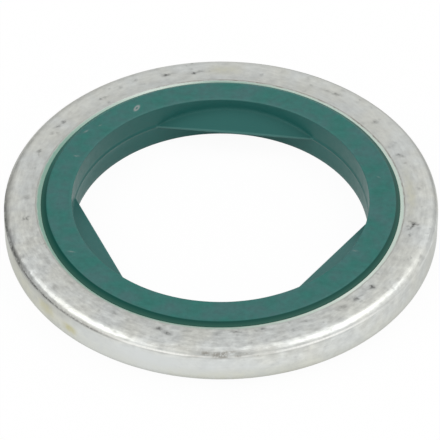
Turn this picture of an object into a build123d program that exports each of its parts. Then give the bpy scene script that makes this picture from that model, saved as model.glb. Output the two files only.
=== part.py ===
from build123d import *
import os

# Bonded sealing washer for an oil drain plug, self-centring kind.
# A zinc plated steel ring carries a green rubber seal that is moulded and bonded into its bore.
# Millimetres. The origin is the middle of the underside, where the lower sealing bead
# touches what it lies on, and +Z runs along the plug's axis.

# The plug that it fits, and the play between its thread and the seal's bore
plug_diameter = 22.0
bore_clearance = 0.3

# Steel ring: width from bore to outside, plate thickness, and how far each
# outer edge is rolled over, inwards from the side and down from the face
ring_width = 3.1
ring_thickness = 3.1
top_edge_run = 0.8
top_edge_drop = 0.5
bottom_edge_run = 0.65
bottom_edge_drop = 0.6
inner_lead_width = 0.58
inner_lead_depth = 0.12

# Rubber bead, the same on both faces, from its bore to the steel's bore
seal_width = 2.1
bead_proud = 0.25
bead_foot_reach = 0.27
bead_slope_run = 0.43

# Moulding ridge round the middle of the seal's bore
ridge_height = 0.07
ridge_width = 0.44

# Centring flaps
flap_count = 3
flap_reach = 1.86
flap_edge_thickness = 0.16
flap_root_thickness = 1.8
first_flap_angle = 90.0

# Radii, from the axis outwards, and heights, from the middle of the plate
seal_bore_radius = plug_diameter / 2 + bore_clearance
flap_distance = seal_bore_radius - flap_reach
ring_bore_radius = seal_bore_radius + seal_width
foot_radius = ring_bore_radius + bead_foot_reach
crown_radius = foot_radius - bead_slope_run
lead_radius = ring_bore_radius + inner_lead_width
outer_radius = ring_bore_radius + ring_width
half_ring = ring_thickness / 2
half_seal = half_ring + bead_proud
lead_height = half_ring - inner_lead_depth
foot_height = half_ring - inner_lead_depth * (lead_radius - foot_radius) / inner_lead_width


def steel_ring():
    """The stamped ring. Each outer edge is rolled over from its face to the side as a quarter ellipse."""
    inside = Polyline(
        (outer_radius - top_edge_run, half_ring),
        (lead_radius, half_ring),
        (ring_bore_radius, lead_height),
        (ring_bore_radius, -lead_height),
        (lead_radius, -half_ring),
        (outer_radius - bottom_edge_run, -half_ring),
    )
    top_middle = (outer_radius - top_edge_run, half_ring - top_edge_drop)
    bottom_middle = (outer_radius - bottom_edge_run, bottom_edge_drop - half_ring)
    top_edge = EllipticalCenterArc(top_middle, top_edge_run, top_edge_drop, 0, arc_size=90)
    bottom_edge = EllipticalCenterArc(bottom_middle, bottom_edge_run, bottom_edge_drop, 270, arc_size=90)
    side = Line(bottom_edge @ 1, top_edge @ 0)
    section = make_face(Curve() + [inside, bottom_edge, side, top_edge])
    return revolve(Plane.XZ * section, Axis.Z)


def bead_ring():
    """The moulding without its flaps: both beads, the bonded back and the ridge in the bore."""
    upper = [
        (seal_bore_radius, half_seal),
        (crown_radius, half_seal),
        (foot_radius, foot_height),
        (ring_bore_radius, lead_height),
    ]
    lower = [(radius, -height) for radius, height in reversed(upper)]
    ridge = [
        (seal_bore_radius, -ridge_width / 2),
        (seal_bore_radius - ridge_height, 0),
        (seal_bore_radius, ridge_width / 2),
    ]
    section = make_face(Polyline(*upper, *lower, *ridge, close=True))
    return revolve(Plane.XZ * section, Axis.Z)


def centring_flap():
    """One flap along +X: a wedge with a straight free edge that thickens towards its root."""
    half_edge = flap_edge_thickness / 2
    growth = (flap_root_thickness - flap_edge_thickness) / 2 / flap_reach
    # The wedge goes on into the bead, so that its curved root is wholly inside the rubber.
    back_radius = (seal_bore_radius + crown_radius) / 2
    half_back = half_edge + growth * (back_radius - flap_distance)
    wedge = make_face(
        Polyline(
            (flap_distance, -half_edge),
            (back_radius, -half_back),
            (back_radius, half_back),
            (flap_distance, half_edge),
            close=True,
        )
    )
    block = extrude(Plane.XZ * wedge, amount=back_radius, both=True)
    return block & Cylinder(back_radius, ring_thickness)


def rubber_seal():
    """The green moulding: bead, ridge and flaps in one piece."""
    seal = bead_ring()
    flap = centring_flap()
    for number in range(flap_count):
        angle = first_flap_angle + number * 360 / flap_count
        seal += Rot(0, 0, angle) * flap
    return seal


parts = {
    "steel_ring": steel_ring(),
    "rubber_seal": rubber_seal(),
}

os.makedirs("parts", exist_ok=True)
for name, shape in parts.items():
    placed = Pos(0, 0, half_seal) * shape
    solid = placed.solids()[0]
    export_step(solid, "parts/" + name + ".step")
    print(name, "solids", len(placed.solids()), "volume", round(solid.volume, 3))
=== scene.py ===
import math
import random

import bpy
from mathutils import Matrix, Vector, noise


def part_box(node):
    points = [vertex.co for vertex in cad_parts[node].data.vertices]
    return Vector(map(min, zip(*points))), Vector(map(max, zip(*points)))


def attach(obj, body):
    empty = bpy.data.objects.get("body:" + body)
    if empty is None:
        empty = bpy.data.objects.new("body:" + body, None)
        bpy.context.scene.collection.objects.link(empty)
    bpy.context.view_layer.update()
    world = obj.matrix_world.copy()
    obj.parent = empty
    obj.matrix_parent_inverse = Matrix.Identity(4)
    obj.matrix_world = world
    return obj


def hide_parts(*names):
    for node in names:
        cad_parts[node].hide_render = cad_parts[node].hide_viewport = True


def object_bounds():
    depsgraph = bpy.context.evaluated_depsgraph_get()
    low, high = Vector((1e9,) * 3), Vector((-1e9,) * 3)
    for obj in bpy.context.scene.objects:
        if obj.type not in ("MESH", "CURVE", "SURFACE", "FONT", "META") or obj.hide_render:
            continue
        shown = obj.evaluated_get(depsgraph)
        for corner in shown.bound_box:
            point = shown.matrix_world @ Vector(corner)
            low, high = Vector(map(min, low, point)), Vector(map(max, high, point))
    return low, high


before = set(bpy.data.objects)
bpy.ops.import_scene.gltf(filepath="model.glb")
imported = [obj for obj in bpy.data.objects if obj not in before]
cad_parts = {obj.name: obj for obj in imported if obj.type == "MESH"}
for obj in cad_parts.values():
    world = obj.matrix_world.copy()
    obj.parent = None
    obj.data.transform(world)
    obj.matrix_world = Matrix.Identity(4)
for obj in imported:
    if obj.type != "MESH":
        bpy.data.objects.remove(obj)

# A bonded sealing washer for an oil drain plug, of the self-centring kind: a zinc plated steel ring
# with a green rubber seal moulded into its bore. It lies on its lower bead, the origin is the middle of
# that underside, and +Z is the plug's axis. Lengths are in metres, and in mm where a comment says so.
mm = 0.001
cad_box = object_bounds()
part_middle = Vector((0, 0, (cad_box[0].z + cad_box[1].z) / 2))

# Camera
# A long lens looks down at the part from the side where it shows one flap at the back and two in front.
photo_width = 440
sensor_width = 36.0
camera_side = math.radians(276.7)
camera_tilt = math.radians(43.0)
camera_roll = math.radians(0.04)
camera_distance = 330 * mm
camera_across = -0.075 * mm
camera_lift = -0.355 * mm
pixels_in_focus = 4331.0

towards_camera = Vector((math.cos(camera_side), math.sin(camera_side), 0))
ahead = -math.cos(camera_tilt) * towards_camera - math.sin(camera_tilt) * Vector((0, 0, 1))
level_right = ahead.cross(Vector((0, 0, 1))).normalized()
level_up = level_right.cross(ahead)
camera_right = math.cos(camera_roll) * level_right + math.sin(camera_roll) * level_up
camera_up = camera_right.cross(ahead)

camera_data = bpy.data.cameras.new("camera")
camera_data.sensor_width = sensor_width
camera_data.lens = pixels_in_focus * sensor_width / photo_width
camera_data.clip_start = 10 * mm
camera = bpy.data.objects.new("camera", camera_data)
bpy.context.scene.collection.objects.link(camera)
camera_place = part_middle - camera_distance * ahead + camera_across * level_right + camera_lift * level_up
camera.matrix_world = Matrix.Translation(camera_place) @ Matrix(
    (camera_right, camera_up, -ahead)
).transposed().to_4x4()
bpy.context.scene.camera = camera

# Steel ring
# A flat ring stamped from steel plate and zinc plated. Tumbling has rolled its outer edges over and left
# them dented. A shallow lead on the inside of each face carries a thin film of rubber from the moulding.
ring_low, ring_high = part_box("steel_ring")
outer_radius = (ring_high.x - ring_low.x) / 2
plate_middle = (ring_high.z + ring_low.z) / 2
half_plate = (ring_high.z - ring_low.z) / 2
ring_width = 3.1 * mm
lead_width = 0.58 * mm
lead_depth = 0.12 * mm
top_edge_run = 0.8 * mm
top_edge_drop = 0.5 * mm
bottom_edge_run = 0.7 * mm
bottom_edge_drop = 0.7 * mm
ring_bore_radius = outer_radius - ring_width
lead_radius = ring_bore_radius + lead_width
lead_height = half_plate - lead_depth

# Steps of the mesh round the ring, and along its section from the top lead outwards and back to it
ring_columns = 1240
top_face_steps = 26
top_edge_steps = 20
side_steps = 12
bottom_edge_steps = 8
bottom_face_steps = 4
bottom_lead_steps = 2
bore_steps = 1
top_lead_steps = 5

# Nicks from handling on the top face, read off the photograph: the pixels across and down of each one's two
# ends, then its width and depth in mm and how dark it is, as dirt with painted shade in its pit
nicks = [
    ((163, 74.9), (168.5, 74), 0.14, 0.024, 0.9),
    ((166.5, 74.3), (176.5, 72.3), 0.09, 0.01, 0.3),
    ((160.5, 73.6), (164, 74.6), 0.1, 0.008, 0.3),
    ((191.5, 72.8), (195.5, 71.8), 0.13, 0.022, 0.73),
    ((195, 71.6), (203, 70.2), 0.11, 0.01, 0.4),
    ((189, 70.6), (192, 71.5), 0.08, 0.006, 0.25),
    ((98.5, 99.5), (101, 97.8), 0.12, 0.018, 0.67),
    ((100.5, 98), (107.5, 95.2), 0.09, 0.01, 0.4),
    ((62, 122.3), (65, 119.8), 0.13, 0.018, 0.73),
    ((56, 127.2), (60, 124.2), 0.12, 0.014, 0.56),
    ((60, 124), (66.5, 118.8), 0.08, 0.008, 0.35),
    ((50.5, 133.5), (52.5, 131.5), 0.13, 0.01, 0.35),
    ((37.5, 151.5), (40.3, 149), 0.15, 0.02, 0.78),
    ((37.8, 152), (38.5, 156), 0.1, 0.01, 0.4),
    ((21.9, 217.7), (24.2, 217.8), 0.25, 0.016, 0.7),
    ((25.6, 217.7), (27.8, 217.8), 0.25, 0.016, 0.7),
    ((25.4, 195), (25.6, 198.5), 0.28, 0.008, 0.35),
    ((309, 84.5), (312, 85.5), 0.15, 0.008, 0.3),
    ((322, 89), (331, 91.5), 0.14, 0.01, 0.35),
    ((332.5, 92.6), (339, 94.4), 0.16, 0.018, 0.62),
    ((336, 93.2), (342, 95.8), 0.09, 0.006, 0.25),
    ((371, 121.8), (377, 120.8), 0.24, 0.016, 0.48),
    ((375, 121), (378.5, 123), 0.12, 0.006, 0.25),
    ((396.5, 154.5), (401, 154), 0.14, 0.014, 0.56),
    ((399.5, 155), (404.5, 156.6), 0.12, 0.01, 0.4),
    ((386.5, 146), (389.5, 147), 0.14, 0.006, 0.25),
    ((391.5, 141), (396, 143), 0.12, 0.006, 0.22),
    ((411.8, 222.2), (414.2, 224.4), 0.22, 0.03, 1.00),
    ((413.5, 223.6), (417.5, 224), 0.11, 0.014, 0.78),
    ((410, 220.6), (412.3, 222.6), 0.11, 0.012, 0.72),
    ((412.5, 224.6), (409.8, 227.6), 0.14, 0.016, 0.78),
    ((409.4, 228), (407, 229.8), 0.11, 0.01, 0.55),
    ((408.5, 234.2), (410.6, 234.8), 0.2, 0.014, 0.65),
    ((407.4, 221.6), (408.6, 220), 0.09, 0.006, 0.42),
    ((406.5, 226), (408.5, 225), 0.09, 0.006, 0.36),
    ((368.8, 287.4), (373.5, 285.6), 0.2, 0.03, 1.00),
    ((364, 290), (369, 287.6), 0.09, 0.008, 0.35),
    ((353.2, 299.4), (357.2, 297.6), 0.2, 0.022, 0.73),
    ((358, 296.5), (364, 293.5), 0.1, 0.006, 0.3),
    ((338, 307), (346, 305), 0.2, 0.012, 0.4),
    ((334, 309), (340, 309.5), 0.14, 0.008, 0.3),
    ((155, 327.6), (161, 328.4), 0.2, 0.022, 0.73),
    ((163.5, 331.3), (170, 333), 0.14, 0.016, 0.67),
    ((158, 330), (164, 331.5), 0.09, 0.006, 0.25),
    ((181, 330), (188, 330), 0.13, 0.008, 0.3),
    ((232, 331.8), (240, 331.3), 0.1, 0.016, 0.67),
    ((228, 331), (233, 331.8), 0.08, 0.008, 0.3),
    ((253, 330.2), (260, 330), 0.08, 0.008, 0.35),
    ((260.8, 328.4), (264.6, 328.4), 0.13, 0.018, 0.73),
    ((300, 321.2), (308, 319.8), 0.12, 0.01, 0.4),
]
photo_middle = (photo_width - 1) / 2

# A nick's shape: half its length and width as shares of the table's, how far its outline wanders in mm and
# how often to a mm, shares of the table's depth for its pit and for the metal pushed up round it, how much
# wider that metal lies, and a share of the table's darkness. Nicks act down to a drop below the face, and
# within that many degrees of their middle.
half_length_share = 0.6
half_width_share = 0.9
ragged_reach = 0.26
ragged_fineness = 5.0
pit_share = 1.3
burr_share = 0.35
burr_spread = 3
dark_share = 1.25
nicked_drop = 0.8 * top_edge_drop
nick_search_angle = 3

# Fine nicks scattered over the top face: the ranges of their distance from the axis and length in mm, of
# their turn from the way round the ring in degrees and of their darkness, then their width and depth
# as shares of their length
fine_nick_count = 90
fine_nick_seed = 5
fine_nick_distances = (14.1, 16.2)
fine_nick_lengths = (0.12, 0.36)
fine_nick_turns = (-60, 60)
fine_nick_darkness = (0.1, 0.4)
fine_nick_width_share = 0.4
fine_nick_depth_share = 0.02

# Unevenness of the whole plate, dents of its rolled top edge and pits where it is scuffed, each as layers
# of lumps: their depth in mm, how many there are to a mm and a shift that tells the layers apart. The
# dents lie on both sides of a line, given as mm along the section from the rim line, as far as they reach.
plate_waves = [(0.006, 0.8, 0), (0.002, 2.6, 7)]
edge_dents = [(0.004, 2.4, 5), (0.009, 4.5, 11), (0.003, 8.0, 2)]
scuff_pits = [(0.030, 6.0, 3)]
dented_middle = -0.5
dented_reach = 0.9

# Where the finish is worn or dirty, and where painted shade and painted highlights lie: angle and reach round
# the part in degrees, then in mm the distance along the section from the rim line, above it when negative,
# and the reach there, and the strength. The rim line is where the rolled top edge ends and the side begins.
scuffs = [
    (277, 11, -0.3, 0.5, 0.35),
    (272.7, 1.5, -0.35, 0.25, 0.9),
    (275.8, 2, -0.2, 0.34, 1),
    (277.5, 1.5, -0.18, 0.36, 1),
    (277.9, 0.9, -0.5, 0.16, 0.8),
    (279.6, 1.6, -0.5, 0.14, 0.6),
    (281.1, 1.3, -0.14, 0.14, 0.7),
    (283.2, 1.6, -0.3, 0.12, 0.5),
    (270, 2.5, -0.1, 0.14, 0.5),
    (286, 3, -0.06, 0.12, 0.5),
    (289.5, 2, -0.12, 0.12, 0.4),
    (268, 12, -0.55, 0.32, 0.3),
    (288, 9, -0.5, 0.3, 0.3),
    (258, 9, -0.5, 0.3, 0.3),
    (240, 16, -0.12, 0.16, 0.6),
]
grime_and_shade = [
    (172, 14, -0.18, 0.26, 0.7),
    (187, 15, -0.12, 0.38, 1),
    (199, 13, -0.08, 0.38, 1),
    (211, 13, 0.00, 0.28, 0.95),
    (223, 13, -0.02, 0.22, 0.9),
    (204.5, 3, -0.2, 0.26, 0.35),
    (208.6, 4, -0.22, 0.28, 0.5),
    (212.4, 3, -0.2, 0.26, 0.35),
    # At the rim line in front: painted dark reflection along the kink where the rolled edge meets the side,
    # with some dirt
    (239, 14, -0.02, 0.14, 0.7),
    (262, 22, 0.05, 0.09, 0.3),
    (300, 30, 0.02, 0.09, 0.22),
    (212, 22, 0.25, 0.65, 0.24),
    (230, 18, 0.3, 0.8, 0.18),
    # Along the bottom edge in front: painted shade of the contact shadow it mirrors, with some dirt
    (276, 40, 2.15, 0.4, 0.16),
    # These three darken the rolled edge along the back
    (20, 40, -0.38, 0.28, 0.45),
    (70, 40, -0.42, 0.26, 0.5),
    (130, 45, -0.42, 0.24, 0.28),
]
# A bright line along the rolled edge near the rim: painted highlight for a reflection of low light, on metal
# partly rubbed bright
rubbed_highlights = [
    (252, 26, -0.12, 0.12, 1),
    (306, 26, -0.15, 0.12, 1),
    (279, 20, -0.1, 0.1, 0.5),
    (266, 9, -0.09, 0.08, 1),
]
stains = [
    (224.7, 4, 1.00, 0.8, 0.9),
    (233.7, 3.5, 1.3, 0.6, 1),
    (212, 24, 1.1, 1.6, 0.28),
    (236, 22, 1.5, 1.2, 0.12),
    (95.7, 7, -1.6, 0.8, 0.35),
    (276, 40, 1.9, 0.9, 0.25),
    (10, 16, -2.3, 0.6, 0.35),
]

# How it changes round the part, as angle in degrees and value: how worn the finish is, how cool its side
# looks, how far from the axis in mm the rubber film reaches, how green it is rather than pale, its pale tone
# being partly a painted highlight, and how dark the line along its outer border is
wear_round = [
    (7, 0.65), (50, 0.4), (97, 0.5), (140, 0.5), (187, 0.65), (210, 1.0), (235, 0.9), (277, 1.0), (320, 0.85),
]
cool_round = [(7, 0.2), (97, 0.2), (187, 0.1), (226, 0.0), (243, 0.6), (258, 0.9), (272, 0.6), (300, 0.0)]
film_reach_round = [
    (7, 13.88), (25, 13.84), (45, 13.79), (75, 13.81), (97, 13.85), (140, 13.90), (165, 13.98), (187, 14.00),
    (215, 13.95), (235, 13.93), (277, 13.94), (310, 13.98), (340, 13.93),
]
film_green_round = [
    (7, 0.3), (36, 0.3), (66, 0.42), (97, 0.78), (112, 0.2), (119, 0.12), (142, 0.7), (160, 1.0),
    (215, 1.0), (247, 0.78), (277, 0.6), (300, 0.3), (322, 0.0), (345, 0.28),
]
border_round = [
    (7, 0.8), (40, 1.0), (75, 0.9), (97, 1.0), (112, 0.7), (125, 0.2), (187, 0.6), (235, 0.3),
    (277, 0.05), (330, 0.4),
]

# Colours of the plate, and of what lies on it
cool_zinc = (0.652, 0.672, 0.656)
warm_zinc = (0.668, 0.676, 0.634)
# Painted shade for the lower side, standing for the shadowed table it mirrors
low_shade_zinc = (0.585, 0.602, 0.540)
cool_side = (0.690, 0.716, 0.711)
bare_edge_highlight = (0.95, 0.95, 0.91)
stain_brown = (0.56, 0.54, 0.34)
scuff_brown = (0.24, 0.22, 0.185)
grime_and_shade_grey = (0.115, 0.118, 0.114)
pale_film_highlight = (0.70, 0.79, 0.71)
green_film = (0.185, 0.355, 0.28)
border_brown = (0.24, 0.22, 0.18)

# The plate's own pattern: lumps to a mm of its clouds, mottle and grain, and of its streaks to a radian
# round the part and to a mm across it, then the range that such noise mostly fills
cloud_fineness = 0.45
mottle_fineness = 1.5
grain_fineness = 6.0
streak_fineness = (16.0, 4.0)
noise_range = (0.3, 0.7)

# Where the plate's colour changes, in mm: brighter away from the rubber by distance from the axis, then by
# height above the table more streaked near the top, darker and duller lower down as painted shade of the
# shadowed table that the side mirrors, and cooler below the rolled edge
bright_distances = (14.0, 15.7)
streaked_heights = (2.0, 2.9)
shaded_low_heights = (1.9, 0.3)
cool_heights = (2.9, 2.4)

# The border of the rubber film in mm: how soft it is, how far it wanders, how far outside it the dark line
# lies, and half the width of that line
film_softness = 0.07
film_wander = 0.03
border_offset = 0.08
border_half_width = 0.08

# How rough the plate is from one end of its mottle to the other, how much rougher where it is scuffed, the
# tint of what it mirrors at a glancing angle, and how deep its finest relief is
plate_roughness = (0.28, 0.38)
scuffed_roughness = 0.12
glancing_tint = (0.72, 0.72, 0.70, 1)
plate_relief = 0.012 * mm


def stretch(start, end, steps):
    """Points from one end of a straight stretch towards the other, without the far one."""
    return [start.lerp(end, step / steps) for step in range(steps)]


def rolled_edge(run, drop, steps):
    """Points of a quarter ellipse from the face, that far in from the side, to the side, that far down."""
    angles = [math.pi / 2 * step / steps for step in range(steps + 1)]
    return [
        Vector((outer_radius - run + run * math.sin(angle), half_plate - drop + drop * math.cos(angle)))
        for angle in angles
    ]


def ring_section():
    """Points of the ring's section, as distance from the axis and height from the plate's middle."""
    top_edge = rolled_edge(top_edge_run, top_edge_drop, top_edge_steps)
    bottom_edge = rolled_edge(bottom_edge_run, bottom_edge_drop, bottom_edge_steps)
    bottom_edge = [Vector((point.x, -point.y)) for point in reversed(bottom_edge)]
    top_lead = Vector((lead_radius, half_plate))
    bottom_lead = Vector((lead_radius, -half_plate))
    upper_bore = Vector((ring_bore_radius, lead_height))
    lower_bore = Vector((ring_bore_radius, -lead_height))
    return (
        stretch(top_lead, top_edge[0], top_face_steps)
        + top_edge
        + stretch(top_edge[-1], bottom_edge[0], side_steps)[1:]
        + bottom_edge[:-1]
        + stretch(bottom_edge[-1], bottom_lead, bottom_face_steps)
        + stretch(bottom_lead, lower_bore, bottom_lead_steps)
        + stretch(lower_bore, upper_bore, bore_steps)
        + stretch(upper_bore, top_lead, top_lead_steps)
    )


def square_to(section):
    """The direction square to the section at each of its points, to the left of the way it runs."""
    found = []
    for number in range(len(section)):
        along = section[(number + 1) % len(section)] - section[number - 1]
        found.append(Vector((-along.y, along.x)).normalized())
    return found


def along_section(section, origin):
    """How far each point lies along the section from the point with that number."""
    lengths = [0.0] * len(section)
    for number in range(origin + 1, len(section)):
        lengths[number] = lengths[number - 1] + (section[number] - section[number - 1]).length
    for number in range(origin - 1, -1, -1):
        lengths[number] = lengths[number + 1] - (section[number] - section[number + 1]).length
    return lengths


def fade(distance, reach):
    """1 in the middle, falling smoothly to 0 at the reach."""
    share = min(abs(distance) / reach, 1.0)
    return (1 - share * share) ** 2


def turn_from(angle, middle):
    """Degrees from one angle to another the short way, between -180 and 180."""
    return (angle - middle + 180) % 360 - 180


def round_value(pairs, angle):
    """A value that is given at a few angles round the part, blended smoothly between them."""
    for number, (start, low) in enumerate(pairs):
        end, high = pairs[(number + 1) % len(pairs)]
        share = (angle - start) % 360 / ((end - start) % 360)
        if share < 1:
            return low + (high - low) * share * share * (3 - 2 * share)
    return pairs[0][1]


def patches(places, angle, distance):
    """How strongly those worn or dirty places act at one point of the surface."""
    total = 0.0
    for middle, angle_reach, at, reach, strength in places:
        turn = turn_from(angle, middle)
        if abs(turn) < angle_reach and abs(distance - at) < reach:
            total += strength * fade(turn, angle_reach) * fade(distance - at, reach)
    return min(total, 1.0)


def seen_at(pixel, height):
    """The place at that height which the photograph shows at a pixel, across the part in mm."""
    right, down = pixel[0] - photo_middle, pixel[1] - photo_middle
    ray = pixels_in_focus * ahead + right * camera_right - down * camera_up
    return (camera_place + ray * ((height - camera_place.z) / ray.z)).xy / mm


def mark_between(start, end, *looks):
    """A mark from its ends: the angle round the part where it lies, its middle, direction and length."""
    middle = (start + end) / 2
    angle = math.degrees(math.atan2(middle.y, middle.x))
    return (angle, middle, (end - start).normalized(), (end - start).length, *looks)


def away_from(mark, place):
    """How far a place is from a mark's middle, squared, where 1 is about the mark's outline."""
    middle, along, length, width = mark[1:5]
    offset = place - middle
    lengthwise = offset.dot(along) / (half_length_share * length)
    sideways = (offset.x * along.y - offset.y * along.x) / (half_width_share * width)
    return lengthwise * lengthwise + sideways * sideways


def all_nicks():
    """The nicks of the photograph, and small shallow ones scattered over the top face and its edge."""
    marks = [
        mark_between(seen_at(start, ring_high.z), seen_at(end, ring_high.z), *looks)
        for start, end, *looks in nicks
    ]
    chance = random.Random(fine_nick_seed)
    for _ in range(fine_nick_count):
        angle = math.radians(chance.uniform(0, 360))
        outwards = Vector((math.cos(angle), math.sin(angle)))
        middle = outwards * chance.uniform(*fine_nick_distances)
        length = chance.uniform(*fine_nick_lengths)
        turn = math.radians(chance.uniform(*fine_nick_turns))
        dark = chance.uniform(*fine_nick_darkness)
        half = (outwards.orthogonal() * math.cos(turn) + outwards * math.sin(turn)) * length / 2
        looks = (fine_nick_width_share * length, fine_nick_depth_share * length, dark)
        marks.append(mark_between(middle - half, middle + half, *looks))
    return marks


def nick_depth(near, place):
    """Depth of those nicks at one place on the top face, in mm, and how dark they are there, as dirt with
    painted shade in their pits.

    Their outlines are ragged, and the metal round each one is pushed up a little.
    """
    ragged = Vector((lumps(place, ragged_fineness, 9) - 0.5, lumps(place, ragged_fineness, 4) - 0.5))
    depth = dark = 0.0
    for nick in near:
        away = away_from(nick, place.xy + ragged * ragged_reach)
        deep, darkness = nick[5:]
        depth += deep * (pit_share * math.exp(-away) - burr_share * math.exp(-away / burr_spread))
        dark = max(dark, min(dark_share * darkness * math.exp(-away), 1.0))
    return depth, dark


def loft(name, columns):
    """A closed ring of faces from sections that all have as many points, one for each column."""
    points = [point for column in columns for point in column]
    size = len(columns[0])
    faces = []
    for number in range(len(columns)):
        here = number * size
        there = (number + 1) % len(columns) * size
        for step in range(size):
            after = (step + 1) % size
            faces.append((here + step, there + step, there + after, here + after))
    mesh = bpy.data.meshes.new(name)
    mesh.from_pydata(points, [], faces)
    mesh.shade_smooth()
    mesh.update()
    piece = bpy.data.objects.new(name, mesh)
    bpy.context.scene.collection.objects.link(piece)
    return piece


def paint(piece, looks):
    """Keeps the look of each point on the mesh, one layer of values for each name in it."""
    for name in looks[0]:
        layer = piece.data.attributes.new(name, "FLOAT", "POINT")
        layer.data.foreach_set("value", [look[name] for look in looks])


def lumps(place, fineness, shift):
    """Smooth noise between 0 and 1 over a place in mm, with more lumps to a mm at a higher fineness."""
    return 0.5 + 0.5 * noise.noise(place * fineness + Vector((shift, 2 * shift, -shift)))


def lumpy_depth(place, layers):
    """Depth in mm of those layers of lumps at a place in mm."""
    return sum(depth * lumps(place, fineness, shift) for depth, fineness, shift in layers)


def plate_look(angle, distance, dark):
    """What the finish is like at one point of the ring, by the names that its material reads."""
    return {
        "worn": round_value(wear_round, angle),
        "cool": round_value(cool_round, angle),
        "scuffed": patches(scuffs, angle, distance),
        "dirt_and_shade": max(patches(grime_and_shade, angle, distance), dark),
        "stained": patches(stains, angle, distance),
        "rubbed_highlight": patches(rubbed_highlights, angle, distance),
        "film_reach": round_value(film_reach_round, angle),
        "film_green": round_value(film_green_round, angle),
        "border": round_value(border_round, angle),
    }


def make_steel_ring():
    """The ring: its section carried round the axis and pushed in where it is nicked, dented or scuffed."""
    section = ring_section()
    normals = square_to(section)
    rim_place = Vector((outer_radius, half_plate - top_edge_drop))
    rim_line = min(range(len(section)), key=lambda number: (section[number] - rim_place).length)
    distances = [length / mm for length in along_section(section, rim_line)]
    found_nicks = all_nicks()
    columns = []
    looks = []
    for number in range(ring_columns):
        turn = math.tau * number / ring_columns
        angle = math.degrees(turn)
        across = Vector((math.cos(turn), math.sin(turn), 0))
        near = [nick for nick in found_nicks if abs(turn_from(angle, nick[0])) < nick_search_angle]
        column = []
        for point, normal, distance in zip(section, normals, distances):
            place = across * (point.x / mm) + Vector((0, 0, point.y / mm))
            on_top = point.y > half_plate - nicked_drop and point.x > lead_radius
            nick, dark = nick_depth(near, place) if on_top else (0.0, 0.0)
            look = plate_look(angle, distance, dark)
            dented = look["worn"] * fade(distance - dented_middle, dented_reach)
            depth = nick + lumpy_depth(place, plate_waves)
            depth += dented * lumpy_depth(place, edge_dents)
            depth += look["scuffed"] * lumpy_depth(place, scuff_pits)
            column.append(
                across * (point.x - normal.x * depth * mm)
                + Vector((0, 0, plate_middle + point.y - normal.y * depth * mm))
            )
            looks.append(look)
        columns.append(column)
    piece = loft("steel_ring_plated", columns)
    paint(piece, looks)
    return piece


def new_material(name):
    """A material that has only a Principled shader and its output, ready to be wired."""
    material = bpy.data.materials.new(name)
    material.use_nodes = True
    shader = material.node_tree.nodes["Principled BSDF"]
    return material, material.node_tree, shader


def wire(tree, kind, *sources, **settings):
    """A node of that kind. Its sockets take the sources in order, each a value or another node's output."""
    node = tree.nodes.new(kind)
    for name, value in settings.items():
        setattr(node, name, value)
    for socket, source in zip(node.inputs, sources):
        if isinstance(source, bpy.types.NodeSocket):
            tree.links.new(source, socket)
        elif source is not None:
            socket.default_value = source
    return node


def maths(tree, operation, *sources):
    """The result of a sum, a product or the like of values and other nodes' outputs."""
    return wire(tree, "ShaderNodeMath", *sources, operation=operation).outputs[0]


def noise_of(tree, place, scale, detail=2.0, roughness=0.5):
    """Soft noise between about 0.3 and 0.7 over a place that is given in mm."""
    node = wire(tree, "ShaderNodeTexNoise", place, None, scale, detail, roughness)
    return node.outputs["Fac"]


def between(tree, value, low, high, to_low=0.0, to_high=1.0):
    """A value moved from one range to another, and kept inside it."""
    return wire(tree, "ShaderNodeMapRange", value, low, high, to_low, to_high).outputs[0]


def tint(tree, share, first, second, way="MIX"):
    """Two colours mixed by a share, each a colour or another node's output."""
    node = tree.nodes.new("ShaderNodeMix")
    node.data_type = "RGBA"
    node.blend_type = way
    for socket, source in ((node.inputs[0], share), (node.inputs[6], first), (node.inputs[7], second)):
        if isinstance(source, bpy.types.NodeSocket):
            tree.links.new(source, socket)
        elif isinstance(source, tuple):
            socket.default_value = (*source, 1)
        else:
            socket.default_value = source
    return node.outputs[2]


def shaded(tree, colour, shade):
    """The colour made lighter or darker by that factor."""
    factor = wire(tree, "ShaderNodeCombineColor", shade, shade, shade).outputs[0]
    return tint(tree, 1.0, colour, factor, "MULTIPLY")


def painted(tree, name):
    """The value that paint() kept on the mesh under that name."""
    node = tree.nodes.new("ShaderNodeAttribute")
    node.attribute_name = name
    return node.outputs["Fac"]


def places(tree):
    """The place on the part in mm, its distance from the axis, its direction from it and its height."""
    position = tree.nodes.new("ShaderNodeTexCoord").outputs["Object"]
    scaled = wire(tree, "ShaderNodeVectorMath", position, operation="SCALE")
    scaled.inputs["Scale"].default_value = 1 / mm
    place = scaled.outputs[0]
    split = wire(tree, "ShaderNodeSeparateXYZ", place)
    flat = wire(tree, "ShaderNodeCombineXYZ", split.outputs[0], split.outputs[1]).outputs[0]
    distance = wire(tree, "ShaderNodeVectorMath", flat, operation="LENGTH").outputs["Value"]
    direction = wire(tree, "ShaderNodeVectorMath", flat, operation="NORMALIZE").outputs[0]
    return place, distance, direction, split.outputs[2]


def round_the_part(tree, distance, direction, height, along, across):
    """Coordinates for marks that run round the part: drawn out along it and narrow across it."""
    spread = wire(tree, "ShaderNodeVectorMath", direction, operation="SCALE")
    spread.inputs["Scale"].default_value = along
    sideways = maths(tree, "MULTIPLY", maths(tree, "SUBTRACT", distance, height), across)
    lifted = wire(tree, "ShaderNodeCombineXYZ", 0.0, 0.0, sideways).outputs[0]
    return wire(tree, "ShaderNodeVectorMath", spread.outputs[0], lifted, operation="ADD").outputs[0]


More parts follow.
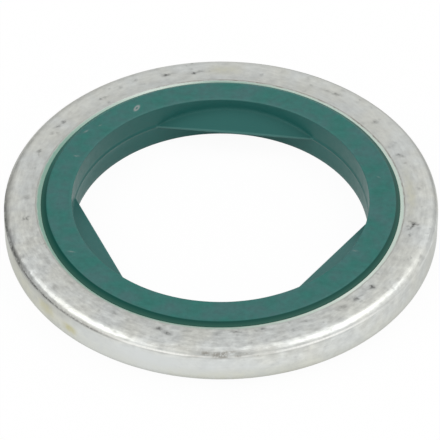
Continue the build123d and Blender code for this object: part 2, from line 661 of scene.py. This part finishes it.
def clouded_zinc(tree, place, distance, height, mottle, streaks):
    """Warmer and cooler clouds, greyer next to the rubber, mottled and streaked most where it is worn, and
    darker low down as painted shade.
    """
    clouds = noise_of(tree, place, cloud_fineness, 2.0, 0.5)
    colour = tint(tree, between(tree, clouds, 0.38, 0.62), cool_zinc, warm_zinc)
    colour = shaded(tree, colour, between(tree, distance, *bright_distances, 0.93, 1.05))
    above = between(tree, height, *streaked_heights, 0.4, 1.0)
    streaked = maths(tree, "MULTIPLY", between(tree, streaks, 0.32, 0.68, -0.14, 0.09), above)
    uneven = maths(tree, "ADD", between(tree, mottle, 0.32, 0.68, -0.16, 0.10), streaked)
    uneven = maths(tree, "MULTIPLY", uneven, painted(tree, "worn"))
    colour = shaded(tree, colour, maths(tree, "ADD", uneven, 1.0))
    # Darker and more olive low down: painted shade of the shadowed table mirrored in the lower side
    low = maths(tree, "MULTIPLY", between(tree, height, *shaded_low_heights), 0.6)
    colour = tint(tree, low, colour, low_shade_zinc)
    cool = maths(tree, "MULTIPLY", painted(tree, "cool"), between(tree, height, *cool_heights))
    return tint(tree, cool, colour, cool_side)


def marked_zinc(tree, colour, mottle, grain):
    """Stains, a bright line near the rim that is partly bare metal rubbed bright and partly painted
    highlight, scuffs, and dirt with painted shade, each broken up by the grain of the plate.
    """
    stain = maths(tree, "MULTIPLY", painted(tree, "stained"), between(tree, mottle, 0.35, 0.6, 0.4, 1.0))
    colour = tint(tree, stain, colour, stain_brown)
    # Painted highlight along the rim, partly bare metal rubbed bright
    bright = maths(tree, "MULTIPLY", painted(tree, "rubbed_highlight"), between(tree, grain, 0.35, 0.5, 0.6, 1.0))
    colour = tint(tree, bright, colour, bare_edge_highlight)
    scuff = maths(tree, "MULTIPLY", painted(tree, "scuffed"), between(tree, grain, 0.34, 0.50))
    colour = tint(tree, maths(tree, "MULTIPLY", scuff, 0.7), colour, scuff_brown)
    # Dark marks: real dirt, with painted shade at the rim line, along the bottom edge and in the nicks' pits
    dirt = maths(tree, "MULTIPLY", painted(tree, "dirt_and_shade"), between(tree, grain, 0.36, 0.53, 0.6, 1.0))
    dirt = maths(tree, "MULTIPLY", dirt, between(tree, mottle, 0.34, 0.54, 0.6, 1.05))
    return tint(tree, dirt, colour, grime_and_shade_grey)


def filmed_zinc(tree, colour, distance, mottle):
    """The film of rubber on the lead, pale in places as a painted highlight, the line of dirt along its
    border, and where the film is.
    """
    over_lead = maths(tree, "SUBTRACT", distance, painted(tree, "film_reach"))
    over_lead = maths(tree, "ADD", over_lead, between(tree, mottle, *noise_range, -film_wander, film_wander))
    film = between(tree, over_lead, film_softness, -film_softness)
    film_colour = tint(tree, painted(tree, "film_green"), pale_film_highlight, green_film)
    colour = tint(tree, maths(tree, "MULTIPLY", film, 0.9), colour, film_colour)
    border = maths(tree, "ABSOLUTE", maths(tree, "SUBTRACT", over_lead, border_offset))
    border = between(tree, border, border_half_width, 0.0)
    border = maths(tree, "MULTIPLY", border, painted(tree, "border"))
    border = maths(tree, "MULTIPLY", border, between(tree, mottle, 0.38, 0.58, 0.25, 1.0))
    return tint(tree, border, colour, border_brown), film


def add_relief(tree, shader, relief, depth):
    """Shallow relief on the surface, as deep as given from the noise's 0 to its 1."""
    bump = tree.nodes.new("ShaderNodeBump")
    bump.inputs["Distance"].default_value = depth
    tree.links.new(relief, bump.inputs["Height"])
    tree.links.new(bump.outputs[0], shader.inputs["Normal"])


def make_zinc_plate():
    """Bright zinc on tumbled steel: cloudy, streaked round the ring, scuffed, stained and soiled in places,
    with painted shade and painted highlights along its edges.
    """
    material, tree, shader = new_material("zinc_plated_steel")
    place, distance, direction, height = places(tree)
    mottle = noise_of(tree, place, mottle_fineness, 4.0, 0.6)
    grain = noise_of(tree, place, grain_fineness, 3.0, 0.6)
    drawn_out = round_the_part(tree, distance, direction, height, *streak_fineness)
    streaks = noise_of(tree, drawn_out, 1.0, 3.0, 0.6)
    colour = clouded_zinc(tree, place, distance, height, mottle, streaks)
    colour = marked_zinc(tree, colour, mottle, grain)
    colour, film = filmed_zinc(tree, colour, distance, mottle)
    tree.links.new(colour, shader.inputs["Base Color"])
    metal = maths(tree, "SUBTRACT", 1.0, maths(tree, "MULTIPLY", film, 0.8))
    tree.links.new(metal, shader.inputs["Metallic"])
    rough = between(tree, mottle, *noise_range, *plate_roughness)
    rougher = maths(tree, "MULTIPLY", painted(tree, "scuffed"), scuffed_roughness)
    rough = maths(tree, "ADD", rough, rougher)
    tree.links.new(rough, shader.inputs["Roughness"])
    shader.inputs["Specular Tint"].default_value = glancing_tint
    relief = maths(tree, "ADD", mottle, maths(tree, "MULTIPLY", streaks, 0.8))
    relief = maths(tree, "ADD", relief, maths(tree, "MULTIPLY", grain, 0.3))
    add_relief(tree, shader, relief, plate_relief)
    return material


steel_ring = make_steel_ring()
steel_ring.data.materials.append(make_zinc_plate())
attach(steel_ring, "root")
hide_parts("steel_ring")

# Rubber seal
# One green nitrile moulding, bonded into the steel ring's bore. A flat-crowned bead stands proud of both
# faces, a low ridge runs round the bore where the mould parts, and three thin flaps grip the plug's thread.
seal_low, seal_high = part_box("rubber_seal")
half_seal = (seal_high.z - seal_low.z) / 2
seal_bore_radius = 11.3 * mm
crown_radius = 13.24 * mm
foot_radius = 13.67 * mm
foot_height = half_plate - lead_depth * (lead_radius - foot_radius) / lead_width
crown_round = 0.27 * mm
bore_round = 0.06 * mm
slope_hollow = 0.02 * mm
ridge_height = 0.07 * mm
ridge_width = 0.44 * mm
flap_count = 3
first_flap_angle = 90.0
flap_distance = 9.44 * mm
flap_edge_thickness = 0.16 * mm
flap_root_thickness = 1.8 * mm
flap_edge_round = 0.04 * mm
flap_root_round = 0.2 * mm

# How far the seal sits off the ring's middle, to the right as the camera sees it
seal_shift = -0.036 * mm

# The fold where the bore's wall meets a flap, or the ridge between two flaps: how much thicker than the
# ridge a flap's root is where its fold is full, the ridge's fold as a share of it, and how far down each
# one's lower end lies as a share of its reach
full_fold_rise = 0.2 * mm
ridge_fold_share = 0.3
ridge_fold_drop = 0.9
flap_fold_drop = 0.3

# Steps of the mesh across each flap and between two of them, then along half of its section: the slope,
# the crown's edge, the crown, the bore's edge, the bore and the flap, above the middle and below it
flap_columns = 150
plain_columns = 110
fold_steps = 5
upper_steps = (8, 5, 30, 4, 10, 16)
lower_steps = (3, 2, 6, 2, 4, 8)

# Unevenness of the rubber that no steel holds, as layers of lumps, how far from the foot it reaches its
# full depth, how far a mark on the crown stands up in mm, and how wide a ringed one's line is as a share
# of the ring's radius
rubber_waves = [(0.006, 0.7, 3), (0.002, 2.2, 9)]
free_reach = 0.1 * mm
mark_height = 0.01
ringed_width = 0.45

flap_growth = (flap_root_thickness - flap_edge_thickness) / 2 / (seal_bore_radius - flap_distance)
flap_half_angle = math.degrees(math.acos(flap_distance / seal_bore_radius))

# Marks on the crown, read off the photograph: the pixels across and down of each one's two ends, then
# its width in mm, its strength, and whether it is a ring as a mould gate leaves
blemishes = [
    ((135.5, 109.2), (138, 105.8), 0.14, 0.75, True),
    ((74.6, 155.2), (78.6, 155.5), 0.06, 0.45, False),
    ((84.4, 131.6), (87.8, 129.8), 0.06, 0.5, False),
    ((99, 125.2), (101.2, 124.4), 0.05, 0.35, False),
    ((68.8, 250.7), (73.8, 251.3), 0.06, 0.4, False),
    ((352.6, 250), (357, 250.4), 0.06, 0.3, False),
    ((377.4, 176), (379.8, 177), 0.05, 0.25, False),
]

# How the seal changes round the part, as angle in degrees and value: how far the slope's foot spreads and how
# far its top edge moves out in mm, how dark the slope's painted shade is and how matt the slope is, how
# strong the painted highlight is on the bore's edge and on the fold below it, and how grey the flaps are
foot_round = [(7, -0.01), (97, 0.0), (187, -0.01), (222, 0.06), (245, 0.11), (277, 0.065), (330, 0.05)]
crown_shift_round = [(7, 0.0), (97, 0.0), (150, 0.0), (187, -0.09), (217, -0.10), (240, -0.07), (270, 0.0)]
slope_shade_round = [(7, 1.0), (35, 0.7), (60, 0.2), (97, 0.0), (140, 0.0), (165, 0.6), (187, 1.0)]
matt_round = [
    (7, 0.3), (50, 0.1), (97, 0.0), (145, 0.0), (187, 0.6), (215, 1.0), (250, 1.0), (277, 0.75), (320, 0.7),
]
edge_highlight_round = [(7, 0.15), (97, 0.45), (187, 0.35), (235, 0.05), (277, 0.0), (330, 0.0)]
fold_highlight_round = [(60, 0.0), (123, 0.0), (140, 0.25), (165, 0.4), (190, 0.4), (215, 0.1), (260, 0.0)]
grey_round = [
    (180, 0.0), (198, 0.2), (225, 0.25), (260, 0.0), (300, 0.35), (325, 0.6), (345, 0.7), (360, 0.2),
    (30, 0.0),
]

# How fast the slope's painted shade changes towards its foot and how much less matt it is there, how far the
# painted highlight along the bore's edge fades into the crown, and how much of a flap's edge carries a
# painted highlight
lower_power = 1.5
foot_gloss = 0.35
highlight_reach = 0.2 * mm
free_edge_share = 0.52

# Colours of the rubber, with painted shade for its slope and bore and a painted highlight for its edges
bluish_green = (0.034, 0.128, 0.122)
clear_green = (0.010, 0.135, 0.111)
mottle_green = (0.032, 0.130, 0.122)
bore_shade_green = (0.008, 0.106, 0.094)
flap_green = (0.058, 0.158, 0.152)
slope_top_shade_green = (0.003, 0.058, 0.046)
slope_foot_shade_green = (0.022, 0.092, 0.068)
edge_highlight_green = (0.05, 0.17, 0.155)
mark_grey = (0.35, 0.34, 0.345)

# The rubber's pattern as lumps to a mm, how rough it is, how its gloss falls where it is matt, how strongly
# it bends light, and how deep its finest relief is
rubber_cloud_fineness = 0.55
rubber_mottle_fineness = 2.2
rubber_grain_fineness = 9.0
rubber_roughness = (0.38, 0.48)
rubber_gloss = (0.5, 0.04)
rubber_index = 1.40
rubber_relief = 0.006 * mm


def flap_height(radius, turn):
    """Half the flap's thickness at a distance from the axis, that many degrees from the flap's middle."""
    inwards = radius * math.cos(math.radians(turn)) - flap_distance
    return flap_edge_thickness / 2 + flap_growth * inwards


def bore_surface(height, turn):
    """How far from the axis the seal's inner surface is, at a height above the plate's middle."""
    ridge = seal_bore_radius - ridge_height * max(0.0, 1 - height / (ridge_width / 2))
    if abs(turn) > flap_half_angle:
        return ridge
    half_edge = flap_edge_thickness / 2
    corner = max(0.0, height - (half_edge - flap_edge_round)) / flap_edge_round
    rounded = flap_edge_round * (1 - math.sqrt(max(0.0, 1 - min(corner, 1.0) ** 2)))
    wedge = flap_distance + rounded + max(0.0, height - half_edge) / flap_growth
    return min(ridge, wedge / math.cos(math.radians(turn)))


def curve_between(start, corner, end, steps):
    """Points of a soft bend from start to end that leans on the corner, without its end."""
    points = []
    for step in range(steps):
        share = step / steps
        points.append(start.lerp(corner, share).lerp(corner.lerp(end, share), share))
    return points


def bead_runs(spread, shift, on_slope, on_bend, on_crown, on_edge):
    """The bond, the slope, the crown and the bore's edge: each one's kind of surface and its points."""
    bond = Vector((ring_bore_radius, lead_height))
    foot = Vector((foot_radius + spread, foot_height + spread * lead_depth / lead_width))
    slope = Vector((foot_radius + spread - crown_radius - shift, foot_height - half_seal)).normalized()
    crown = Vector((crown_radius + shift, half_seal))
    bend = crown_round * math.tan(math.atan2(-slope.y, slope.x) / 2)
    crown_outside = crown + slope * bend
    crown_inside = crown - Vector((bend, 0))
    hollow = [math.sin(math.pi * step / on_slope) * slope_hollow for step in range(on_slope)]
    slope_points = [
        point + Vector((slope.y, -slope.x)) * depth
        for point, depth in zip(stretch(foot, crown_outside, on_slope), hollow)
    ]
    bore_top = Vector((seal_bore_radius, half_seal))
    edge_outside = bore_top + Vector((bore_round, 0))
    edge_inside = bore_top - Vector((0, bore_round))
    return [
        ("bond", stretch(Vector((ring_bore_radius, 0)), bond, 1) + stretch(bond, foot, 1)),
        ("slope", slope_points),
        ("crown", curve_between(crown_outside, crown, crown_inside, on_bend)),
        ("crown", stretch(crown_inside, edge_outside, on_crown)),
        ("edge", curve_between(edge_outside, bore_top, edge_inside, on_edge)),
    ]


def bore_runs(turn, on_bore, on_flap):
    """The bore's wall, the fold and the flap or ridge: each one's kind of surface and its points."""
    over_flap = abs(turn) <= flap_half_angle
    root_height = ridge_width / 2
    if over_flap:
        root_height = max(root_height, flap_height(seal_bore_radius, turn))
    fullness = min(max((root_height - ridge_width / 2) / full_fold_rise, 0.0), 1.0)
    reach = flap_root_round * (ridge_fold_share + (1 - ridge_fold_share) * fullness)
    drop = reach * (ridge_fold_drop + (flap_fold_drop - ridge_fold_drop) * fullness)
    root = Vector((seal_bore_radius, root_height))
    root_above = root + Vector((0, reach))
    root_inside = Vector((bore_surface(root_height - drop, turn), root_height - drop))
    half_edge = flap_edge_thickness / 2
    heights = [root_inside.y + (half_edge - root_inside.y) * step / on_flap for step in range(on_flap)]
    heights += [half_edge, half_edge - 0.4 * flap_edge_round, half_edge - flap_edge_round]
    heights += [0.3 * half_edge, 0.0]
    edge_inside = Vector((seal_bore_radius, half_seal - bore_round))
    return [
        ("bore", stretch(edge_inside, root_above, on_bore)),
        ("fold", curve_between(root_above, root, root_inside, fold_steps)),
        ("flap", [Vector((bore_surface(height, turn), height)) for height in heights]),
    ]


def half_seal_section(turn, spread, shift, steps):
    """Half the seal's section, from the bond to the middle of the bore, and each point's kind of surface."""
    runs = bead_runs(spread, shift, *steps[:4]) + bore_runs(turn, *steps[4:])
    points = [point for kind, run in runs for point in run]
    kinds = [kind for kind, run in runs for point in run]
    return points, kinds


def seal_turns():
    """The angle of each column of the seal, and its turn from the middle of the nearest flap."""
    spacing = 360 / flap_count
    turns = []
    for number in range(flap_count):
        middle = first_flap_angle + number * spacing
        for step in range(flap_columns):
            turn = flap_half_angle * (2 * step / flap_columns - 1)
            turns.append((middle + turn, turn))
        gap = spacing - 2 * flap_half_angle
        for step in range(plain_columns):
            turn = flap_half_angle + gap * step / plain_columns
            turns.append((middle + turn, turn if turn <= spacing / 2 else turn - spacing))
    return turns


def blemish_at(marks, place):
    """How strongly those marks on the crown show at one place on it."""
    shown = 0.0
    for mark in marks:
        strength, ringed = mark[5:]
        away = away_from(mark, place)
        share = math.exp(-((math.sqrt(away) - 1) / ringed_width) ** 2) if ringed else math.exp(-away)
        shown = max(shown, strength * share)
    return shown


def edge_highlight_at(kind, point, angle, turn):
    """How strong the painted highlight is at one point along the bore's edge, the folds and the flaps' edges.
    """
    if kind == "flap":
        on_edge = abs(turn) < flap_half_angle and abs(point.y) < free_edge_share * flap_edge_thickness
        return 1.0 if on_edge else 0.0
    if kind == "fold":
        return round_value(fold_highlight_round, angle)
    if kind == "edge":
        return round_value(edge_highlight_round, angle)
    if kind == "crown" and point.y > 0:
        inwards = max(0.0, 1 - (point.x - seal_bore_radius - bore_round) / highlight_reach)
        return round_value(edge_highlight_round, angle) * inwards
    return 0.0


def rubber_look(kind, point, angle, turn, marked):
    """What the rubber is like at one point of the seal, by the names that its material reads."""
    sloped = 1.0 if kind == "slope" else 0.0
    down_slope = min(max((point.x - crown_radius) / (foot_radius - crown_radius), 0.0), 1.0)
    return {
        "pale": marked,
        "sloped": sloped * round_value(slope_shade_round, angle),
        "lower": down_slope ** lower_power,
        "matt": sloped * round_value(matt_round, angle) * (1 - foot_gloss * down_slope),
        "bored": 1.0 if kind in ("bore", "fold", "flap") else 0.0,
        "edge_highlight": edge_highlight_at(kind, point, angle, turn),
        "greyed": round_value(grey_round, angle) if kind in ("fold", "flap") else 0.0,
    }


def make_rubber_seal():
    """The moulding: its section carried round the axis, a little uneven where no steel holds it."""
    found_blemishes = [
        mark_between(seen_at(start, seal_high.z), seen_at(end, seal_high.z), *looks)
        for start, end, *looks in blemishes
    ]
    columns = []
    looks = []
    for angle, turn in seal_turns():
        across = Vector((math.cos(math.radians(angle)), math.sin(math.radians(angle)), 0))
        spread = round_value(foot_round, angle) * mm
        shift = round_value(crown_shift_round, angle) * mm
        upper, kinds = half_seal_section(turn, spread, shift, upper_steps)
        lower, lower_kinds = half_seal_section(turn, spread, shift, lower_steps)
        section = upper + [Vector((point.x, -point.y)) for point in reversed(lower[1:-1])]
        kinds = kinds + lower_kinds[-2:0:-1]
        normals = square_to(section)
        column = []
        for point, normal, kind in zip(section, normals, kinds):
            place = across * (point.x / mm) + Vector((0, 0, point.y / mm))
            free = min(max((foot_radius - point.x) / free_reach, 0.0), 1.0)
            shifted = 0.0 if kind == "bond" and point.x < foot_radius else 1.0
            on_crown = kind == "crown" and point.y > 0
            marked = blemish_at(found_blemishes, place.xy) if on_crown else 0.0
            depth = free * lumpy_depth(place, rubber_waves) + marked * mark_height
            column.append(
                across * (point.x + normal.x * depth * mm)
                + level_right * (shifted * seal_shift)
                + Vector((0, 0, plate_middle + point.y + normal.y * depth * mm))
            )
            looks.append(rubber_look(kind, point, angle, turn, marked))
        columns.append(column)
    piece = loft("rubber_seal_moulding", columns)
    paint(piece, looks)
    return piece


def make_green_rubber():
    """Satin green nitrile: soft bluish and greener clouds, a fine grain, painted shade on the slope and in
    the bore, and painted highlights along its edges.
    """
    material, tree, shader = new_material("green_rubber")
    place = places(tree)[0]
    clouds = noise_of(tree, place, rubber_cloud_fineness, 2.0, 0.5)
    mottle = noise_of(tree, place, rubber_mottle_fineness, 4.0, 0.6)
    grain = noise_of(tree, place, rubber_grain_fineness, 3.0, 0.6)
    colour = tint(tree, between(tree, clouds, 0.36, 0.64), bluish_green, clear_green)
    colour = tint(tree, between(tree, mottle, 0.4, 0.75, 0.0, 0.3), colour, mottle_green)
    colour = shaded(tree, colour, between(tree, mottle, 0.32, 0.68, 0.88, 1.10))
    # Painted shade over the bore's wall, folds and flaps
    colour = tint(tree, painted(tree, "bored"), colour, bore_shade_green)
    colour = tint(tree, painted(tree, "greyed"), colour, flap_green)
    # Painted shade on the bead's outer slope, darkest near the crown
    slope_shade = tint(tree, painted(tree, "lower"), slope_top_shade_green, slope_foot_shade_green)
    colour = tint(tree, painted(tree, "sloped"), colour, slope_shade)
    # Painted highlight along the bore's edge, the folds and the flaps' free edges
    colour = tint(tree, maths(tree, "MULTIPLY", painted(tree, "edge_highlight"), 0.9), colour, edge_highlight_green)
    colour = tint(tree, painted(tree, "pale"), colour, mark_grey)
    tree.links.new(colour, shader.inputs["Base Color"])
    tree.links.new(between(tree, mottle, *noise_range, *rubber_roughness), shader.inputs["Roughness"])
    shader.inputs["IOR"].default_value = rubber_index
    gloss = between(tree, painted(tree, "matt"), 0.0, 1.0, *rubber_gloss)
    tree.links.new(gloss, shader.inputs["Specular IOR Level"])
    relief = maths(tree, "ADD", mottle, maths(tree, "MULTIPLY", grain, 0.3))
    add_relief(tree, shader, relief, rubber_relief)
    return material


rubber_seal = make_rubber_seal()
rubber_seal.data.materials.append(make_green_rubber())
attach(rubber_seal, "root")
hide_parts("rubber_seal")

# Floor
# A wide white table. It shows white where it is lit, in the picture and in the metal, and keeps the
# part's soft shadow.
floor_half_width = 3.0
table_colour = (0.92, 0.92, 0.92, 1)
white_where_seen = 0.95
white_where_mirrored = 0.8
floor_mesh = bpy.data.meshes.new("floor")
corners = ((-1, -1), (1, -1), (1, 1), (-1, 1))
floor_points = [(floor_half_width * across, floor_half_width * along, 0) for across, along in corners]
floor_mesh.from_pydata(floor_points, [], [(0, 1, 2, 3)])
floor = bpy.data.objects.new("floor", floor_mesh)
bpy.context.scene.collection.objects.link(floor)
floor_material = bpy.data.materials.new("white_table")
floor_material.use_nodes = True
floor_tree = floor_material.node_tree
floor_tree.nodes.clear()
table = wire(floor_tree, "ShaderNodeBsdfDiffuse", table_colour)
glow = wire(floor_tree, "ShaderNodeEmission", (1, 1, 1, 1), 1.0)
ray = floor_tree.nodes.new("ShaderNodeLightPath")
mirrored = maths(floor_tree, "MAXIMUM", ray.outputs["Is Glossy Ray"], ray.outputs["Is Transmission Ray"])
seen = maths(floor_tree, "MULTIPLY", ray.outputs["Is Camera Ray"], white_where_seen)
mirrored = maths(floor_tree, "MULTIPLY", mirrored, white_where_mirrored)
share = maths(floor_tree, "MAXIMUM", seen, mirrored)
mixed = wire(floor_tree, "ShaderNodeMixShader", share, table.outputs[0], glow.outputs[0])
floor_output = floor_tree.nodes.new("ShaderNodeOutputMaterial")
floor_tree.links.new(mixed.outputs[0], floor_output.inputs["Surface"])
floor_mesh.materials.append(floor_material)

# Light
# A wide soft box hangs above each side of the part. The room round them is pale grey, darker low down
# behind it on the left, with bright patches low beside the camera and higher up on both sides.
box_height = 0.4
room_level = 0.79

# Ways into the room as the camera sees them, to the right, away from it and up, then the two cosines
# between which each place fades in, and how much brighter the bright ones are
dark_place = (-0.77, 0.64, 0.08, 0.66, 1.0)
dark_level = 0.26
dark_power = 1.3
bright_places = [
    (0.652, -0.724, 0.225, 0.93, 0.99, 0.38),
    (-0.584, -0.775, 0.242, 0.93, 0.99, 0.34),
    (0.787, -0.121, 0.605, 0.87, 0.99, 0.20),
    (-0.684, -0.456, 0.570, 0.90, 0.99, 0.24),
]


def soft_box(name, middle, width, depth, turn, brightness):
    """A rectangular lamp facing down, turned by some degrees, and as bright as white in full light at 1.

    Its middle is as the camera sees it, in metres: to the right, away from the camera, and up.
    """
    lamp = bpy.data.lights.new(name, "AREA")
    lamp.shape = "RECTANGLE"
    lamp.size = width
    lamp.size_y = depth
    lamp.energy = brightness * math.pi * width * depth
    piece = bpy.data.objects.new(name, lamp)
    bpy.context.scene.collection.objects.link(piece)
    studio = Matrix((level_right, -towards_camera, Vector((0, 0, 1)))).transposed()
    spin = Matrix.Rotation(math.radians(turn), 4, "Z")
    piece.matrix_world = Matrix.Translation(part_middle + studio @ Vector(middle)) @ studio.to_4x4() @ spin


soft_box("soft_box_right", (0.195, 0.072, box_height), width=0.22, depth=0.40, turn=8, brightness=1.28)
soft_box("soft_box_left", (-0.30, -0.01, box_height), width=0.31, depth=0.42, turn=0, brightness=1.27)

world = bpy.data.worlds.new("pale_room")
bpy.context.scene.world = world
world.use_nodes = True
room = world.node_tree
background = room.nodes["Background"]
sight = room.nodes.new("ShaderNodeTexCoord").outputs["Generated"]


def facing(right, away, up, low, high):
    """How nearly a ray into the room runs that way: 0 below the low cosine, 1 above the high one."""
    way = (right * level_right - away * towards_camera + Vector((0, 0, up))).normalized()
    along = wire(room, "ShaderNodeVectorMath", sight, tuple(way), operation="DOT_PRODUCT")
    return between(room, along.outputs["Value"], low, high)


dark_side = maths(room, "POWER", facing(*dark_place), dark_power)
level = between(room, dark_side, 0.0, 1.0, room_level, dark_level)
for *place, more in bright_places:
    level = maths(room, "ADD", level, maths(room, "MULTIPLY", facing(*place), more))
grey = wire(room, "ShaderNodeCombineColor", level, level, level).outputs[0]
room.links.new(grey, background.inputs["Color"])

bpy.context.scene.view_settings.view_transform = "Standard"
